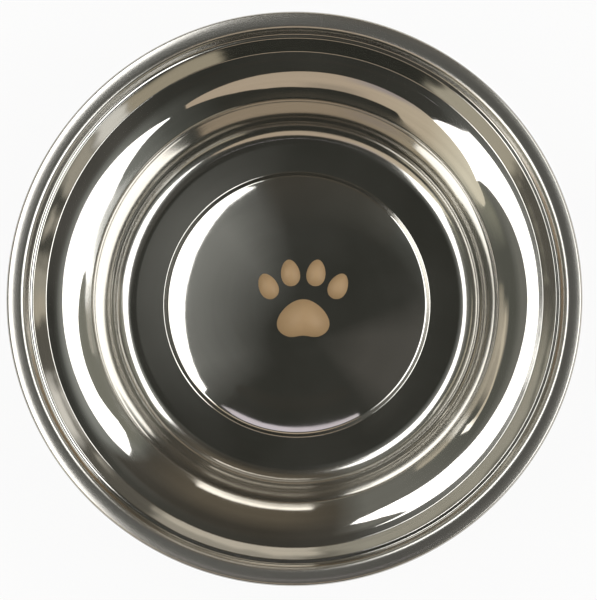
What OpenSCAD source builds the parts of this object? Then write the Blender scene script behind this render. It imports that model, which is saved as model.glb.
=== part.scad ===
// Stainless dog bowl. A pressed food bowl is rolled at its rim over the edge of a drawn outer shell,
// which stands on a moulded non-slip ring, and a print lies on the domed floor.
// All lengths are in millimetres. The origin is on the table, under the centre of the bowl, with +Z up.

/* [Rim] */
// Outside diameter of the rolled rim
rim_d = 210; // [195:1:235]
// Height of the rolled rim, from its crown to its lower edge
rim_h = 6; // [5.4:0.1:8]
// Width of the rim's underside, from the shell's neck out to the edge
rim_w = 5; // [4.8:0.05:5.1]
// Width of the rim's top, from the edge in to the crown
crown_w = 6.1; // [6:0.1:6.6]
// Bend radius of the crown
crown_bend = 2.8; // [2.5:0.1:2.9]
// Distance from the edge in to where the top starts to fall outwards
fall_w = 2.5; // [2.4:0.1:2.8]
// Fall of the top towards the edge, in degrees
fall_angle = 13; // [9:1:14]
// Bend radius of that fall
fall_bend = 13; // [8:1:14]
// Bend radius of the edge's upper side
edge_bend = 1.2; // [0.9:0.1:1.4]
// Bend radius of the edge's lower side
hook_bend = 2; // [1.4:0.1:2.4]
// Slope of the flank between the crown and the drip groove, in degrees
flank_angle = 55; // [48:1:60]
// Depth of the drip groove below the crown
groove_depth = 3; // [2.6:0.1:3.4]
// Width from the drip groove in to the ridge beside it
ridge_width = 1.3; // [1.1:0.05:1.8]
// Height of the ridge above the drip groove
ridge_rise = 0.3; // [0.2:0.05:0.5]
// Bend radius of the groove and the ridge
groove_bend = 0.9; // [0.8:0.05:1.0]

/* [Food bowl] */
// Thickness of the food bowl's sheet
inner_t = 0.8; // [0.6:0.05:0.85]
// Depth from the crown to the corner of floor and wall
bowl_depth = 35.5; // [33:0.5:42]
// Air between the floor's lowest edge and the outer shell
floor_air = 4.8; // [1:0.1:10]
// Width from the rim's edge in to the crease below the ridge
crease_w = 14; // [13.6:0.1:15]
// Depth of the crease below the crown
crease_depth = 6.8; // [6:0.1:7.6]
// Bend radius of the crease
crease_bend = 1; // [0.8:0.1:1.8]
// Width from the crease in to where the shoulder steepens
shoulder_w = 7.6; // [6.8:0.1:9]
// Slope of the shoulder at the crease, in degrees
shoulder_angle = 11; // [9:1:14]
// Bend radius where the shoulder steepens
shoulder_bend = 34; // [24:1:36]
// Width from there in to the throat
slope_w = 9; // [8.2:0.1:11]
// Slope of the shoulder down to the throat, in degrees
throat_angle = 31; // [29:1:34]
// Bend radius of the throat, where the shoulder turns down into the wall
throat_bend = 2.3; // [1.8:0.1:2.6]
// Steepness of the wall under the throat, in degrees
belly_angle = 64.5; // [60:0.5:66]
// Share of the wall's width that lies below that bend
belly_share = 0.86; // [0.6:0.02:0.86]
// Share of the wall's upper leg that the bend within the wall takes up
belly_cut_share = 0.46; // [0.2:0.02:0.6]
// Steepness of the wall above the floor, in degrees
wall_angle = 72.5; // [70:0.5:77]
// Radius between floor and wall
floor_fillet = 10; // [6:0.5:10.5]

/* [Domed floor] */
// Width of the floor between the wall's corner and the raised disc
floor_ring_w = 19.2; // [14:0.1:24]
// Slope of the dome at the edge of the raised disc, in degrees
dome_slope = 10; // [6:0.5:12]
// Height of the step round the raised disc
step_h = 0.9; // [0.7:0.1:1.4]
// Slope of the step, in degrees
step_angle = 30; // [26:1:36]
// Bend radius at the top of the step
step_crown = 2.5; // [1.5:0.1:3.5]
// Bend radius at the foot of the step
step_foot = 1.2; // [0.8:0.1:2]
// Fall of the floor from the step out to the wall, in degrees
floor_fall = 2.5; // [1:0.5:4]

/* [Outer shell] */
// Thickness of the outer shell's sheet
outer_t = 0.8; // [0.6:0.05:0.9]
// Clearance left in the rolled seam
seam_gap = 0.05; // [0.03:0.01:0.08]
// Height of the straight neck below the rim
neck_h = 4; // [2:0.5:8]
// Bend radius at the neck
neck_bend = 8; // [4:0.5:12]
// Bend radius at the top of the neck, where the shell turns out under the rim
hem_bend = 0.8; // [0.5:0.1:0.9]
// Length of the shell's turned edge inside the rolled rim
hem_tail = 2; // [1:0.1:2.2]
// Diameter of the shell where its wall would meet the base
base_d = 172; // [160:1:182]
// Bend radius between base and wall
base_bend = 5; // [3.5:0.5:7]
// Diameter of the raised middle of the base
recess_d = 132; // [115:1:138]
// Height of the raised middle of the base
recess_h = 2.5; // [1.5:0.1:3]
// Bend radius round the raised middle
recess_bend = 1.6; // [1.2:0.1:2]

/* [Non-slip ring] */
// Thickness of the ring under the base and on the wall
ring_t = 1.6; // [1.3:0.1:2.2]
// Height of the ring
ring_h = 11; // [9:0.5:14]
// Width of the ring under the base
ring_reach = 13; // [11:0.5:14]
// Clearance between the ring and the shell
ring_gap = 0.05; // [0.03:0.01:0.08]
// Bend radius of the ledge over the ring
ledge_bend = 0.9; // [0.85:0.05:1]
// Rounding of the ring's own edges
ring_round = 0.5; // [0.3:0.05:0.6]
// Width of each tread groove under the ring
tread_w = 1.2; // [0.8:0.1:1.6]
// Depth of each tread groove
tread_depth = 0.6; // [0.3:0.05:0.8]
// Number of tread grooves
tread_count = 2; // [1:1:3]

/* [Print] */
// Thickness of the print
print_t = 0.15; // [0.1:0.01:0.3]
// Clearance under the print
print_gap = 0.02; // [0.01:0.01:0.04]
// Distance from the bowl's axis to the print, to the right
print_x = 2.5; // [0:0.1:4]
// Distance from the bowl's axis to the print, to the front
print_y = 1.5; // [0:0.1:4]
// Width of the heel pad
heel_w = 19; // [15:0.5:22]
// Height of the heel pad
heel_h = 15; // [12:0.5:17]
// Width of a toe pad
toe_w = 7; // [5.5:0.1:8]
// Height of a toe pad
toe_h = 10; // [8:0.1:11]
// Distance from the heel pad's centre to the two middle toes
toe_reach = 18; // [16:0.5:20]
// Angle between neighbouring toes, in degrees
toe_spread = 31; // [28:1:34]

/* [Hidden] */
$fn = 180;
tiny = 0.0001;
arc_turn = 6;
arc_run_share = 0.03;
steel = [0.66, 0.66, 0.64];
satin_steel = [0.56, 0.56, 0.55];
rubber = [0.06, 0.06, 0.065];
tan_ink = [0.70, 0.58, 0.43];

// The crown of the rim, and the groove inside it
bowl_h = ring_t + recess_h + outer_t + floor_air + inner_t + bowl_depth;
rim_r = rim_d / 2;
arc_run = rim_r * arc_run_share;
flank_top = rim_r - crown_w;
fall_r = rim_r - fall_w;
fall_drop = fall_w * tan(fall_angle);
groove_r = flank_top - groove_depth / tan(flank_angle);
ridge_r = groove_r - ridge_width;

// The shoulder, the throat, the wall and the floor of the food bowl
crease_r = rim_r - crease_w;
crease_z = bowl_h - crease_depth;
shoulder_r = crease_r - shoulder_w;
shoulder_z = crease_z - shoulder_w * tan(shoulder_angle);
throat_r = shoulder_r - slope_w;
throat_z = shoulder_z - slope_w * tan(throat_angle);
floor_z = bowl_h - bowl_depth;
wall_rise = belly_share * tan(wall_angle) + (1 - belly_share) * tan(belly_angle);
floor_r = throat_r - (throat_z - floor_z) / wall_rise;
belly_r = floor_r + (throat_r - floor_r) * belly_share;
belly_z = floor_z + (belly_r - floor_r) * tan(wall_angle);
belly_leg = (throat_r - belly_r) / cos(belly_angle);
belly_bend = belly_leg * belly_cut_share / tan((wall_angle - belly_angle) / 2);
disc_r = floor_r - floor_ring_w;
step_run = step_h / tan(step_angle);
step_foot_z = floor_z + (floor_r - disc_r - step_run) * tan(floor_fall);
disc_z = step_foot_z + step_h;
crown_cut = step_crown * tan((step_angle - dome_slope) / 2);
dome_cut = (disc_r - crown_cut * cos(dome_slope)) / (1 + cos(dome_slope));
dome_bend = dome_cut / tan(dome_slope / 2);
dome_z = disc_z + (disc_r - dome_cut) * tan(dome_slope);

// The outer shell, whose turned edge lies in the rolled rim
hem_in = inner_t + seam_gap + outer_t;
neck_r = rim_r - rim_w;
neck_z = bowl_h - rim_h - neck_h;
base_r = base_d / 2;
recess_r = recess_d / 2;
slant = (neck_r - base_r) / neck_z;
seat_r = base_r + slant * ring_t - ring_t * sqrt(1 + slant * slant);

// Headings and turns of a path in the plane of radius and height
function towards(a) = [cos(a), sin(a)];
function spot(c) = [c[0], c[1]];
function heading(a, b) = atan2(b[1] - a[1], b[0] - a[0]);
function wrapped(a) = a > 180 ? a - 360 : a < -180 ? a + 360 : a;
function turn_at(c, i) = wrapped(heading(c[i], c[i + 1]) - heading(c[i - 1], c[i]));

// The points of one rounded corner; a corner is [radius, height, bend radius]
function bend_points(c, i) =
    let (
        turn = turn_at(c, i),
        side = sign(turn),
        bend = c[i][2],
        from = heading(c[i - 1], c[i]),
        start = spot(c[i]) - bend * tan(abs(turn) / 2) * towards(from),
        middle = start + bend * towards(from + 90 * side),
        steps = ceil(max(abs(turn) / arc_turn, bend * abs(turn) * PI / 180 / arc_run, 1))
    )
    bend < tiny ? [spot(c[i])]
    : [for (k = [0:steps]) middle + bend * towards(from - 90 * side + turn * k / steps)];

// A whole path of corners, with its first and last point left sharp
function all_points(c) =
    let (last = len(c) - 1)
    concat([spot(c[0])], [for (i = [1:last - 1]) each bend_points(c, i)], [spot(c[last])]);
function path(c) =
    let (p = all_points(c))
    [for (i = [0:len(p) - 1]) if (i == 0 || norm(p[i] - p[i - 1]) > tiny) p[i]];

// The same path moved sideways by a distance, to the right where that is positive
function beside(c, away) =
    let (last = len(c) - 1)
    [for (i = [0:last])
        let (
            before = heading(c[max(i - 1, 0)], c[max(i, 1)]),
            turn = i == 0 || i == last ? 0 : turn_at(c, i),
            moved = spot(c[i]) + away / cos(turn / 2) * towards(before + turn / 2 - 90),
            bend = i == 0 || i == last ? 0 : max(c[i][2] + sign(turn) * away, 0)
        )
        [moved[0], moved[1], bend]];

function reversed(p) = [for (i = [len(p) - 1:-1:0]) p[i]];

// A band between a path and the same path moved sideways, turned about the axis
module band(c, near, far) {
    rotate_extrude() polygon(concat(path(beside(c, near)), reversed(path(beside(c, far)))));
}

// Corners of the dome, from the axis out to the edge of the raised disc
dome = [
    [0, dome_z, 0],
    [dome_cut, dome_z, dome_bend],
    [disc_r, disc_z, 0],
];

// Corners of the rim, from its flank round to the neck
rim_line = [
    [groove_r, bowl_h - groove_depth, groove_bend],
    [flank_top, bowl_h, crown_bend],
    [fall_r, bowl_h, fall_bend],
    [rim_r, bowl_h - fall_drop, edge_bend],
    [rim_r, bowl_h - rim_h, hook_bend],
    [neck_r + seam_gap, bowl_h - rim_h, 0],
];

// Corners of the food bowl's upper face, from the axis out to the end of the rolled rim
food_face = [
    dome[0],
    dome[1],
    [disc_r, disc_z, step_crown],
    [disc_r + step_run, step_foot_z, step_foot],
    [floor_r, floor_z, floor_fillet],
    [belly_r, belly_z, belly_bend],
    [throat_r, throat_z, throat_bend],
    [shoulder_r, shoulder_z, shoulder_bend],
    [crease_r, crease_z, crease_bend],
    [ridge_r, bowl_h - groove_depth + ridge_rise, groove_bend],
    each rim_line,
];

// Corners of the outer shell's outer face, from the axis out to its turned edge inside the rim
ring_top = [seat_r + slant * (ring_h - ring_t), ring_h];
hem = beside(rim_line, hem_in);
shell_face = [
    [0, ring_t + recess_h, 0],
    [recess_r - recess_h, ring_t + recess_h, recess_bend],
    [recess_r, ring_t, recess_bend],
    [seat_r, ring_t, base_bend],
    [ring_top[0], ring_top[1], ledge_bend],
    [base_r + slant * ring_h, ring_h, ledge_bend],
    [neck_r, neck_z, neck_bend],
    [neck_r, bowl_h - hem_in, hem_bend],
    hem[2],
    hem[3],
    [hem[3][0], hem[3][1] - hem_tail, 0],
];

module food_bowl() {
    color(steel) band(food_face, 0, inner_t);
}

module outer_shell() {
    color(satin_steel) band(shell_face, 0, -outer_t);
}

// The ring lines the shell's corner and lies flush with its wall; its treads are cut from below
ring_inner_r = seat_r - ring_reach;
ring_seat = [
    [ring_inner_r, ring_t, 0],
    [seat_r, ring_t, base_bend],
    [ring_top[0], ring_top[1], 0],
];
tread_pitch = (ring_reach - base_bend) / (tread_count + 1);

module ring_body() {
    seat = beside(ring_seat, ring_gap);
    skin = beside(ring_seat, ring_t);
    top = ring_h - ring_gap;
    lean = slant * (ring_h - top);
    corners = [
        [seat[0][0], seat[0][1], 0],
        seat[1],
        [seat[2][0] - lean, top, 0],
        [skin[2][0] - lean, top, ring_round],
        skin[1],
        [skin[0][0], skin[0][1], ring_round],
        [seat[0][0], seat[0][1], 0],
    ];
    rotate_extrude() polygon(path(corners));
}

module tread(i) {
    r = ring_inner_r + tread_pitch * i;
    rotate_extrude() translate([r - tread_w / 2, -tread_depth]) square([tread_w, tread_depth * 2]);
}

module non_slip_ring() {
    color(rubber) difference() {
        ring_body();
        for (i = [1:tread_count]) tread(i);
    }
}

// Outline of a pad, wider towards one end by its taper share
pad_steps = 40;
toe_taper_share = 0.16;
heel_taper_share = 0.24;
heel_notch_share = 0.10;
heel_notch_width_share = 0.35;
toe_fan_share = 0.55;
paw_drop_share = 0.25;
function pad(w, h, taper, notch) =
    [for (k = [0:pad_steps - 1])
        let (a = 360 * k / pad_steps, low = (1 - sin(a)) / 2)
        [w / 2 * cos(a) * (1 + taper * (2 * low - 1)),
         h / 2 * sin(a) + h * notch * exp(-pow(cos(a) / heel_notch_width_share, 2)) * (sin(a) < 0 ? 1 : 0)]];

module pads() {
    polygon(pad(heel_w, heel_h, heel_taper_share, heel_notch_share));
    for (i = [-1.5:1:1.5]) {
        lean = -i * toe_spread;
        rotate(lean) translate([0, toe_reach]) rotate(-lean * (1 - toe_fan_share))
            polygon(pad(toe_w, toe_h, toe_taper_share, 0));
    }
}

module paw_print() {
    color(tan_ink) intersection() {
        band(dome, -print_gap, -print_gap - print_t);
        translate([print_x, -print_y - toe_reach * paw_drop_share, 0]) linear_extrude(bowl_h) pads();
    }
}

food_bowl();
outer_shell();
non_slip_ring();
paw_print();
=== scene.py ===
# %% [markdown]
# # A polished steel dog bowl
# This lesson dresses a dog bowl whose construction is already settled: a pressed food bowl, the outer
# shell that its rim is rolled over, a rubber ring that it stands on, and a print on its floor.
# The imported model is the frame. It says where every piece is, and nothing here moves or resizes it.
# Each piece is made again from the same sizes, only finer, because polished steel shows every facet.

# %% Load the frame
from math import atan, atan2, ceil, cos, degrees, exp, pi, radians, sin, sqrt, tan

import bmesh
import bpy
from mathutils import Matrix, Vector


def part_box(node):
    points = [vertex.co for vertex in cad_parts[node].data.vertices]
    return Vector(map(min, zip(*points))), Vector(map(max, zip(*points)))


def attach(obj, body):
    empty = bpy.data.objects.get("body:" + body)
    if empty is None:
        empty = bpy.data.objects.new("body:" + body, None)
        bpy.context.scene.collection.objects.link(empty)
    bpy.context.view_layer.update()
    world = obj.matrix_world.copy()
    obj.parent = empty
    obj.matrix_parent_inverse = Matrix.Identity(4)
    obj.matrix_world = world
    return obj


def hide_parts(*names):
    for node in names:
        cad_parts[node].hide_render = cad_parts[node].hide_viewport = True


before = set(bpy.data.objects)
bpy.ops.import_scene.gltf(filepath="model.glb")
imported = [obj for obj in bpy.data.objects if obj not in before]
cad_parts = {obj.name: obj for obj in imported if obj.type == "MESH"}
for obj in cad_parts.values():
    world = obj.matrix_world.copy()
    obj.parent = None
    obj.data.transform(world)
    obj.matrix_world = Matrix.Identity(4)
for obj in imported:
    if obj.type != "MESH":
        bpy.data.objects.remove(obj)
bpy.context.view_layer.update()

MM = 0.001
scene = bpy.context.scene
print("nodes:", sorted(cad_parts))

# %% [markdown]
# ## Sizes of the bowl
# A bowl is a body of revolution, so its sizes are radii and heights of one section. The rim's radius and
# height are read from the frame. The other sizes are named here in millimetres, and angles in degrees, as
# on the drawing of a press tool.

# %% Name the food bowl's sizes
rim_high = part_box("food_bowl")[1]
RIM_R = rim_high.x
BOWL_H = rim_high.z
RIM_H = 6 * MM
RIM_W = 5 * MM
CROWN_W = 6.1 * MM
CROWN_BEND = 2.8 * MM
FALL_W = 2.5 * MM
FALL_ANGLE = 13
FALL_BEND = 13 * MM
EDGE_BEND = 1.2 * MM
HOOK_BEND = 2 * MM
FLANK_ANGLE = 55
GROOVE_DEPTH = 3 * MM
RIDGE_WIDTH = 1.3 * MM
RIDGE_RISE = 0.3 * MM
GROOVE_BEND = 0.9 * MM
SHEET = 0.8 * MM
SEAM_GAP = 0.05 * MM
CREASE_W = 14 * MM
CREASE_DEPTH = 6.8 * MM
CREASE_BEND = 1 * MM
FLANK_CROWN = 0.08 * MM
FLANK_BEND = 60 * MM
SHOULDER_W = 7.6 * MM
SHOULDER_ANGLE = 11
SHOULDER_BEND = 34 * MM
SLOPE_W = 9 * MM
THROAT_ANGLE = 31
THROAT_BEND = 2.3 * MM
BELLY_ANGLE = 64.5
BELLY_SHARE = 0.86
BELLY_CUT_SHARE = 0.46
WALL_ANGLE = 72.5
BOWL_DEPTH = 35.5 * MM
FLOOR_FILLET = 10 * MM
FLOOR_FALL = 2.5
FLOOR_RING_W = 19.2 * MM
DISC_SLOPE = 10
STEP_H = 0.9 * MM
STEP_ANGLE = 30
STEP_CROWN = 2.5 * MM
STEP_FOOT = 1.2 * MM
print("rim radius and height in mm:", round(RIM_R / MM, 2), round(BOWL_H / MM, 2))

# %% [markdown]
# ## The camera
# The bowl is seen from almost straight above. The floor's circle sits a little lower and further right in
# the picture than the rim's, so the camera stood a few degrees in front of the bowl and to its right.
# The lens follows from the size that one pixel has at the rim, so the bowl fills the picture as it should.

# %% Place the camera
IMAGE_W = 597
IMAGE_H = 600
OUTLINE_R_PX = 288.0
OUTLINE_X_PX = 293.95
OUTLINE_Y_PX = 297.61
SENSOR = 36.0
CAMERA_DISTANCE = 1.559
CAMERA_AZIMUTH = 22.8
CAMERA_OFF_AXIS = 4.9
CLIP_START = 0.05
CLIP_END = 20

pixel = RIM_R / OUTLINE_R_PX
target = Vector((
    (IMAGE_W / 2 - OUTLINE_X_PX) * pixel,
    -(IMAGE_H / 2 - OUTLINE_Y_PX) * pixel,
    BOWL_H - RIM_H / 2,
))
tilt = radians(CAMERA_OFF_AXIS)
turn = radians(CAMERA_AZIMUTH)
away = Vector((sin(turn) * sin(tilt), -cos(turn) * sin(tilt), cos(tilt)))
camera_data = bpy.data.cameras.new("camera")
camera = bpy.data.objects.new("camera", camera_data)
scene.collection.objects.link(camera)
camera_data.sensor_width = SENSOR
camera_data.lens = SENSOR * CAMERA_DISTANCE / (IMAGE_H * pixel)
camera_data.clip_start = CLIP_START
camera_data.clip_end = CLIP_END
camera.location = target + away * CAMERA_DISTANCE
camera.rotation_mode = "QUATERNION"
camera.rotation_quaternion = Vector((0, 0, 1)).rotation_difference(away)
scene.camera = camera
scene.view_settings.view_transform = "Standard"
print("lens in mm:", round(camera_data.lens, 1))

# %% [markdown]
# ## Lines that turn into bowls
# A section is drawn like a pencil line: straight legs with round bends between them. Each corner is a
# radius, a height and a bend radius. A bend is spun as a true arc, because a mirror shows every flat spot.

# %% Helpers for sections
WEDGES = 16
SHORTEST_LEG = 0.002 * MM
WELD_REACH = 0.0005 * MM


def heading(a, b):
    """The course from one corner to the next, in degrees."""
    return degrees(atan2(b[1] - a[1], b[0] - a[0]))


def turn_at(corners, i):
    """The angle that the line turns through at a corner, left turns counted as positive."""
    change = heading(corners[i], corners[i + 1]) - heading(corners[i - 1], corners[i])
    return (change + 180) % 360 - 180


def beside(corners, distance):
    """The same corners moved sideways, to the right of the line where the distance is positive."""
    last = len(corners) - 1
    moved = []
    for i, (r, z, bend) in enumerate(corners):
        inside = 0 < i < last
        turned = turn_at(corners, i) if inside else 0
        before = heading(corners[max(i - 1, 0)], corners[max(i, 1)])
        side = radians(before + turned / 2 - 90)
        reach = distance / cos(radians(turned / 2))
        side_bend = max(bend + (distance if turned > 0 else -distance), 0) if inside and bend else 0
        moved.append((r + reach * cos(side), z + reach * sin(side), side_bend))
    return moved


def draw_section(bm, corners, arc_turn):
    """Draws the corners' line in the XZ plane. One vertex is the pen, which is returned at its end."""
    pen = bm.verts.new((corners[0][0], 0, corners[0][1]))
    for i in range(1, len(corners)):
        corner = Vector((corners[i][0], 0, corners[i][1]))
        is_bend = i < len(corners) - 1 and corners[i][2] > 0
        turned = turn_at(corners, i) if is_bend else 0
        course = radians(heading(corners[i - 1], corners[i]))
        along = Vector((cos(course), 0, sin(course)))
        cut = corners[i][2] * tan(radians(abs(turned) / 2)) if is_bend else 0
        leg_end = corner - along * cut
        if (leg_end - pen.co).length > SHORTEST_LEG:
            grown = bmesh.ops.extrude_vert_indiv(bm, verts=[pen])
            pen = grown["verts"][0]
            pen.co = leg_end
        if is_bend:
            left = Vector((-sin(course), 0, cos(course)))
            centre = leg_end + left * corners[i][2] * (1 if turned > 0 else -1)
            spun = bmesh.ops.spin(bm, geom=[pen], cent=centre, axis=(0, -1, 0), angle=radians(turned),
                                  steps=max(ceil(abs(turned) / arc_turn), 2))
            pen = spun["geom_last"][0]
    return pen


def revolve(name, draw, steps):
    """A closed solid: a section is spun into one wedge, and the wedge is copied round the axis."""
    bm = bmesh.new()
    draw(bm)
    wedge = 2 * pi / WEDGES
    bmesh.ops.spin(bm, geom=bm.verts[:] + bm.edges[:], cent=(0, 0, 0), axis=(0, 0, 1),
                   angle=wedge, steps=steps // WEDGES)
    bmesh.ops.spin(bm, geom=bm.verts[:] + bm.edges[:] + bm.faces[:], cent=(0, 0, 0), axis=(0, 0, 1),
                   angle=wedge * (WEDGES - 1), steps=WEDGES - 1, use_duplicate=True)
    bmesh.ops.remove_doubles(bm, verts=bm.verts[:], dist=WELD_REACH)
    bmesh.ops.recalc_face_normals(bm, faces=bm.faces[:])
    return piece_from(bm, name)


def piece_from(bm, name):
    """Turns a bmesh into a smooth-shaded object and tells how large it became."""
    mesh = bpy.data.meshes.new(name)
    bm.to_mesh(mesh)
    open_edges = sum(1 for e in bm.edges if len(e.link_faces) != 2)
    bm.free()
    mesh.shade_smooth()
    piece = bpy.data.objects.new(name, mesh)
    scene.collection.objects.link(piece)
    triangles = sum(len(p.vertices) - 2 for p in mesh.polygons)
    print(name, "triangles:", triangles, "open edges:", open_edges)
    return piece


# %% [markdown]
# ## The food bowl
# The real bowl is one sheet, pressed between two tools and then spun against a buffing wheel. Its upper
# face has a raised disc with a gentle dome, a floor that falls to the wall, a steep wall, a broad shoulder,
# a crease, a ridge and a drip groove, and the rim that is rolled over the outer shell.
# The lower face is the same line, set off by the sheet's thickness. One spun section is the right way to
# make it, because the slope at each radius decides what the steel mirrors there.

# %% Work out the food bowl's corners
def slope(angle):
    """Rise over run."""
    return tan(radians(angle))


NECK_R = RIM_R - RIM_W
groove_r = RIM_R - CROWN_W - GROOVE_DEPTH / slope(FLANK_ANGLE)
rim_line = [
    (groove_r, BOWL_H - GROOVE_DEPTH, GROOVE_BEND),
    (RIM_R - CROWN_W, BOWL_H, CROWN_BEND),
    (RIM_R - FALL_W, BOWL_H, FALL_BEND),
    (RIM_R, BOWL_H - FALL_W * slope(FALL_ANGLE), EDGE_BEND),
    (RIM_R, BOWL_H - RIM_H, HOOK_BEND),
    (NECK_R + SEAM_GAP, BOWL_H - RIM_H, 0),
]


def food_bowl_corners():
    """Corners of the upper face, from the axis out to the end of the rolled rim."""
    crease_r = RIM_R - CREASE_W
    crease_z = BOWL_H - CREASE_DEPTH
    ridge_r = groove_r - RIDGE_WIDTH
    ridge_z = BOWL_H - GROOVE_DEPTH + RIDGE_RISE
    shoulder_r = crease_r - SHOULDER_W
    shoulder_z = crease_z - SHOULDER_W * slope(SHOULDER_ANGLE)
    throat_r = shoulder_r - SLOPE_W
    throat_z = shoulder_z - SLOPE_W * slope(THROAT_ANGLE)
    floor_z = BOWL_H - BOWL_DEPTH
    wall_rise = BELLY_SHARE * slope(WALL_ANGLE) + (1 - BELLY_SHARE) * slope(BELLY_ANGLE)
    floor_r = throat_r - (throat_z - floor_z) / wall_rise
    belly_r = floor_r + (throat_r - floor_r) * BELLY_SHARE
    belly_z = floor_z + (belly_r - floor_r) * slope(WALL_ANGLE)
    belly_leg = (throat_r - belly_r) / cos(radians(BELLY_ANGLE))
    belly_bend = belly_leg * BELLY_CUT_SHARE / slope((WALL_ANGLE - BELLY_ANGLE) / 2)
    disc_r = floor_r - FLOOR_RING_W
    step_run = STEP_H / slope(STEP_ANGLE)
    foot_z = floor_z + (floor_r - disc_r - step_run) * slope(FLOOR_FALL)
    crown_cut = STEP_CROWN * slope((STEP_ANGLE - DISC_SLOPE) / 2)
    dome_cut = (disc_r - crown_cut * cos(radians(DISC_SLOPE))) / (1 + cos(radians(DISC_SLOPE)))
    disc_z = foot_z + STEP_H
    dome_z = disc_z + (disc_r - dome_cut) * slope(DISC_SLOPE)
    return [
        (0, dome_z, 0),
        (dome_cut, dome_z, dome_cut / slope(DISC_SLOPE / 2)),
        (disc_r, disc_z, STEP_CROWN),
        (disc_r + step_run, foot_z, STEP_FOOT),
        (floor_r, floor_z, FLOOR_FILLET),
        (belly_r, belly_z, belly_bend),
        (throat_r, throat_z, THROAT_BEND),
        (shoulder_r, shoulder_z, SHOULDER_BEND),
        (crease_r, crease_z, CREASE_BEND),
        ((crease_r + ridge_r) / 2, (crease_z + ridge_z) / 2 + FLANK_CROWN, FLANK_BEND),
        (ridge_r, ridge_z, GROOVE_BEND),
        *rim_line,
    ]


upper = food_bowl_corners()
for r, z, bend in upper:
    print("corner", round(r / MM, 2), round(z / MM, 2), "bend", round(bend / MM, 2))

# %% Spin the food bowl
UPPER_TURN = 3
LOWER_TURN = 7
BOWL_STEPS = 256


def sheet_section(bm, corners, thickness, top_turn, under_turn):
    """Both faces of a sheet as one closed line, open only at the axis."""
    end = draw_section(bm, corners, top_turn)
    lower = draw_section(bm, beside(corners, thickness), under_turn)
    bm.edges.new((end, lower))


food_bowl = revolve("food_bowl_steel",
                    lambda bm: sheet_section(bm, upper, SHEET, UPPER_TURN, LOWER_TURN), BOWL_STEPS)
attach(food_bowl, "root")
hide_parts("food_bowl")

# %% [markdown]
# ## The outer shell
# The outer shell is a second drawn sheet. It hangs from the rolled seam, tapers down to the base, steps in
# over the rubber ring and ends in a raised middle, so that only the ring touches the ground.

# %% Name the outer shell's and the ring's sizes
NECK_H = 4 * MM
NECK_BEND = 8 * MM
HEM_BEND = 0.8 * MM
HEM_TAIL = 2 * MM
BASE_R = 86 * MM
BASE_BEND = 5 * MM
RECESS_R = 66 * MM
RECESS_H = 2.5 * MM
RECESS_BEND = 1.6 * MM
RING_T = 1.6 * MM
RING_H = 11 * MM
RING_REACH = 13 * MM
RING_GAP = 0.05 * MM
RING_ROUND = 0.5 * MM
RING_LIP_ROUND = RING_ROUND / 3
RING_START = 2 * RING_ROUND
LEDGE_BEND = 0.9 * MM
TREAD_W = 1.2 * MM
TREAD_DEPTH = 0.6 * MM
TREAD_ROUND = 0.15 * MM
TREAD_COUNT = 2

neck_z = BOWL_H - RIM_H - NECK_H
slant = (NECK_R - BASE_R) / neck_z
seat_r = BASE_R + slant * RING_T - RING_T * sqrt(1 + slant * slant)
print("the wall leans out by", round(degrees(atan(slant)), 1), "degrees")

# %% Spin the outer shell
SHELL_TURN = 5
hem_in = 2 * SHEET + SEAM_GAP
hem_fall, hem_edge = beside(rim_line, hem_in)[2:4]
shell_corners = [
    (0, RING_T + RECESS_H, 0),
    (RECESS_R - RECESS_H, RING_T + RECESS_H, RECESS_BEND),
    (RECESS_R, RING_T, RECESS_BEND),
    (seat_r, RING_T, BASE_BEND),
    (seat_r + slant * (RING_H - RING_T), RING_H, LEDGE_BEND),
    (BASE_R + slant * RING_H, RING_H, LEDGE_BEND),
    (NECK_R, neck_z, NECK_BEND),
    (NECK_R, BOWL_H - hem_in, HEM_BEND),
    hem_fall,
    hem_edge,
    (hem_edge[0], hem_edge[1] - HEM_TAIL, 0),
]
outer_shell = revolve("outer_shell_steel",
                      lambda bm: sheet_section(bm, shell_corners, -SHEET, SHELL_TURN, SHELL_TURN),
                      BOWL_STEPS)
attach(outer_shell, "root")
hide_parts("outer_shell")

# %% [markdown]
# ## The non-slip ring
# The ring is moulded rubber. It cups the shell's corner, lies flush with the wall above it, and has tread
# grooves below. Its section is a closed line that touches the axis nowhere, so it spins to a closed hoop.

# %% Spin the non-slip ring
RING_TURN = 9
RING_WELD = 0.001 * MM


def tread_corners(r):
    """One groove in the ring's underside, from its inner to its outer edge."""
    half = TREAD_W / 2
    return [(r - half, 0, TREAD_ROUND), (r - half, TREAD_DEPTH, TREAD_ROUND),
            (r + half, TREAD_DEPTH, TREAD_ROUND), (r + half, 0, TREAD_ROUND)]


def ring_section(bm):
    """The ring's closed line: outwards along the treads, up its outer face, and back down its seat."""
    seat_line = [(seat_r - RING_REACH, RING_T, 0), (seat_r, RING_T, BASE_BEND),
                 (seat_r + slant * (RING_H - RING_T), RING_H, 0)]
    seat_foot, seat_corner, seat_top = beside(seat_line, RING_GAP)
    skin_foot, skin_corner, skin_top = beside(seat_line, RING_T)
    top = RING_H - RING_GAP
    tuck = slant * RING_GAP
    pitch = (RING_REACH - BASE_BEND) / (TREAD_COUNT + 1)
    treads = [c for i in range(1, TREAD_COUNT + 1) for c in tread_corners(skin_foot[0] + pitch * i)]
    start = (skin_foot[0] + RING_START, 0, 0)
    line = [start, *treads, skin_corner, (skin_top[0] - tuck, top, RING_ROUND),
            (seat_top[0] - tuck, top, RING_LIP_ROUND), seat_corner, (*seat_foot[:2], RING_LIP_ROUND),
            (*skin_foot[:2], RING_ROUND), start]
    draw_section(bm, line, RING_TURN)
    bmesh.ops.remove_doubles(bm, verts=bm.verts[:], dist=RING_WELD)


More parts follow.
